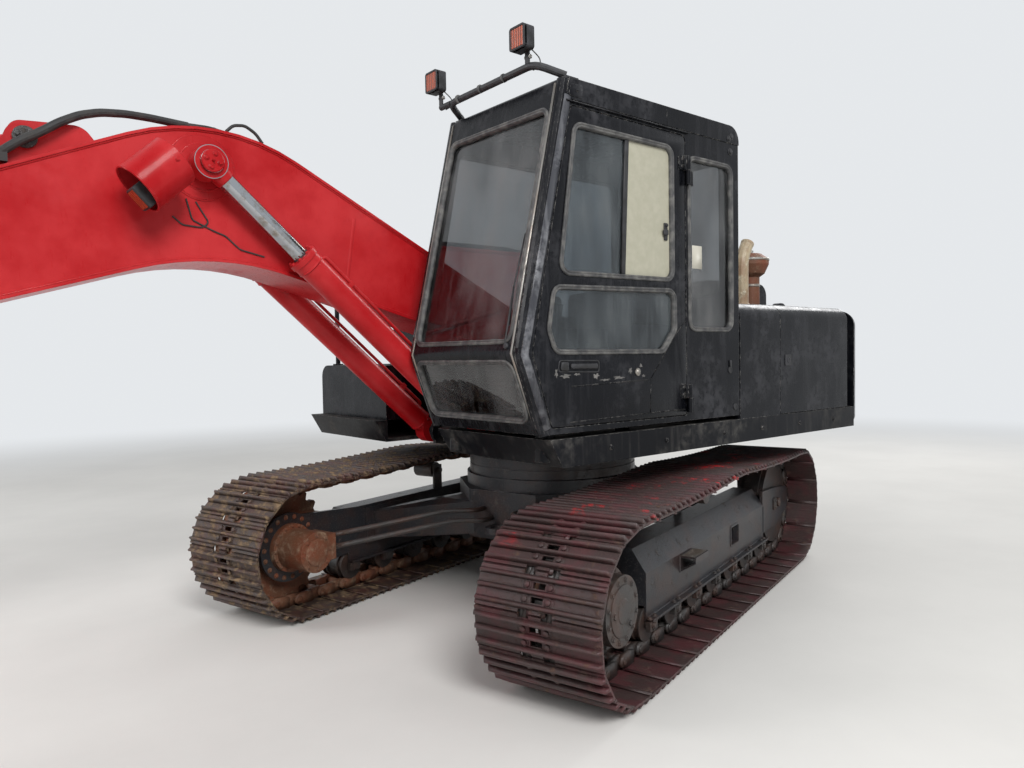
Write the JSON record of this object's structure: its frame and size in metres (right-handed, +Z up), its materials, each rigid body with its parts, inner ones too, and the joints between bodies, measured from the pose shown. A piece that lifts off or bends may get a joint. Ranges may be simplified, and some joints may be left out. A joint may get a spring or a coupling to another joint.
{
  "type": "crawler excavator",
  "caption": "Crawler excavator with a slewing upperstructure, enclosed cab, bent boom, arm and toothed bucket on triple-grouser tracks.",
  "frame": {"origin": "slewing axis at ground level", "axes": "+X forward along the boom, +Y to the machine's left, +Z up"},
  "size_m": [11.7152, 3.7841, 3.235],
  "materials": {
    "black_paint": "worn satin black repaint",
    "red_paint": "glossy red repaint",
    "arm_paint": "worn dark paint with rust",
    "track_steel": "dry mud over rusty steel",
    "dark_steel": "dark grey paint with dried mud",
    "chrome_rod": "polished",
    "glass": "dusty",
    "seat_fabric": "worn cloth",
    "black_plastic": "dusty",
    "lamp_shell": "scratched, orange lenses",
    "engine_iron": "oily",
    "exhaust_steel": "heat-tinted",
    "rusty_steel": "rusted"
  },
  "bodies": {
    "undercarriage": {"carbody": "dark_steel", "slewing_ring": "dark_steel", "track_frame_left": "dark_steel", "track_frame_right": "dark_steel", "track_left": "track_steel", "track_right": "track_steel", "sprocket_left": "track_steel", "sprocket_right": "track_steel", "idler_left": "track_steel", "idler_right": "track_steel", "track_rollers_left": "track_steel", "track_rollers_right": "track_steel", "carrier_rollers": "track_steel", "travel_motors": "rusty_steel", "travel_pipes": "rusty_steel"},
    "upperstructure": {"revolving_frame": "black_paint", "cab_shell": "black_paint", "cab_glass": "glass", "cab_seat": "seat_fabric", "cab_controls": "black_plastic", "lamp_bar": "lamp_shell", "panel_left": "black_paint", "tank_right": "black_paint", "engine_block": "engine_iron", "exhaust": "exhaust_steel", "air_cleaner": "rusty_steel", "counterweight": "black_paint", "swing_motor": "engine_iron", "handrails": "black_paint"},
    "engine_hood": {"engine_hood": "black_paint"},
    "service_door_left": {"service_door_left": "black_paint"},
    "service_door_right": {"service_door_right": "black_paint"},
    "cab_door": {"cab_door": "black_paint", "door_glass": "glass"},
    "boom": {"boom": "red_paint", "boom_lamp": "red_paint", "boom_pipes": "rusty_steel"},
    "boom_cylinder_barrels": {"boom_cylinder_barrels": "red_paint"},
    "boom_cylinder_rods": {"boom_cylinder_rods": "chrome_rod"},
    "arm_cylinder_barrel": {"arm_cylinder_barrel": "red_paint"},
    "arm_cylinder_rod": {"arm_cylinder_rod": "chrome_rod"},
    "arm": {"arm": "red_paint"},
    "bucket_cylinder_barrel": {"bucket_cylinder_barrel": "red_paint"},
    "bucket_cylinder_rod": {"bucket_cylinder_rod": "chrome_rod"},
    "rocker_links": {"rocker_links": "arm_paint"},
    "bucket_link": {"bucket_link": "arm_paint"},
    "bucket": {"bucket": "track_steel"}
  },
  "joints": [
    {"name": "slew", "type": "hinge", "parent": "undercarriage", "child": "upperstructure", "pos_m": [0, 0, 0.93], "axis": [0, 0, 1], "continuous": true},
    {"name": "cab_door", "type": "hinge", "parent": "upperstructure", "child": "cab_door", "pos_m": [0.165, 1.352, 2], "axis": [0, 0, 1], "range_deg": [0, 165]},
    {"name": "left_service_door", "type": "hinge", "parent": "upperstructure", "child": "service_door_left", "pos_m": [-1.675, 1.31, 1.5], "axis": [0, 0, 1], "range_deg": [0, 110]},
    {"name": "right_service_door", "type": "hinge", "parent": "upperstructure", "child": "service_door_right", "pos_m": [-1.675, -1.31, 1.5], "axis": [0, 0, -1], "range_deg": [0, 110]},
    {"name": "engine_hood", "type": "hinge", "parent": "upperstructure", "child": "engine_hood", "pos_m": [-1.63, 0, 1.927], "axis": [0, -1, 0], "range_deg": [0, 70]},
    {"name": "boom", "type": "hinge", "parent": "upperstructure", "child": "boom", "pos_m": [0.15, 0, 1.6], "axis": [0, -1, 0], "range_deg": [-35, 56]},
    {"name": "boom_cylinder", "type": "hinge", "parent": "upperstructure", "child": "boom_cylinder_barrels", "pos_m": [0.86, 0, 1.12], "axis": [0, -1, 0], "range_deg": [-35.01, 56.01]},
    {"name": "boom_rods", "type": "slide", "parent": "boom_cylinder_barrels", "child": "boom_cylinder_rods", "axis": [0.7455, 0, 0.6665], "range_m": [-0.466, 0.744]},
    {"name": "arm_cylinder", "type": "hinge", "parent": "boom", "child": "arm_cylinder_barrel", "pos_m": [3.19, 0, 2.6], "axis": [0, -1, 0], "range_deg": [-2.21, 0.09]},
    {"name": "arm_rod", "type": "slide", "parent": "arm_cylinder_barrel", "child": "arm_cylinder_rod", "axis": [0.9432, 0, -0.3323], "range_m": [-0.043, 1.245]},
    {"name": "arm", "type": "hinge", "parent": "boom", "child": "arm", "pos_m": [5.42, 0, 1.37], "axis": [0, -1, 0], "range_deg": [-120, 4]},
    {"name": "bucket_cylinder", "type": "hinge", "parent": "arm", "child": "bucket_cylinder_barrel", "pos_m": [5.63934, 0, 1.73317], "axis": [0, -1, 0], "range_deg": [-8.09, 1.13]},
    {"name": "bucket_rod", "type": "slide", "parent": "bucket_cylinder_barrel", "child": "bucket_cylinder_rod", "axis": [0.9473, 0, -0.3203], "range_m": [-0.1, 0.714]},
    {"name": "rocker", "type": "hinge", "parent": "arm", "child": "rocker_links", "pos_m": [7.29114, 0, 0.60834], "axis": [0, -1, 0], "range_deg": [-86.97, 12.01]},
    {"name": "link", "type": "hinge", "parent": "rocker_links", "child": "bucket_link", "pos_m": [7.31097, 0, 1.16799], "axis": [0, -1, 0], "range_deg": [-5.25, 37.99]},
    {"name": "bucket", "type": "hinge", "parent": "arm", "child": "bucket", "pos_m": [7.64762, 0, 0.42443], "axis": [0, -1, 0], "range_deg": [-145, 20]}
  ],
  "couplings": [
    {"joint": "boom_cylinder", "follows": "boom", "ratio": 1},
    {"joint": "boom_rods", "follows": "boom", "m_per_rad": 0.76},
    {"joint": "arm_cylinder", "follows": "arm", "ratio": 0.0183},
    {"joint": "arm_rod", "follows": "arm", "m_per_rad": -0.5937},
    {"joint": "bucket_cylinder", "follows": "bucket", "ratio": 0.0557},
    {"joint": "bucket_rod", "follows": "bucket", "m_per_rad": -0.2814},
    {"joint": "rocker", "follows": "bucket", "ratio": 0.5997},
    {"joint": "link", "follows": "bucket", "ratio": -0.2619}
  ]
}
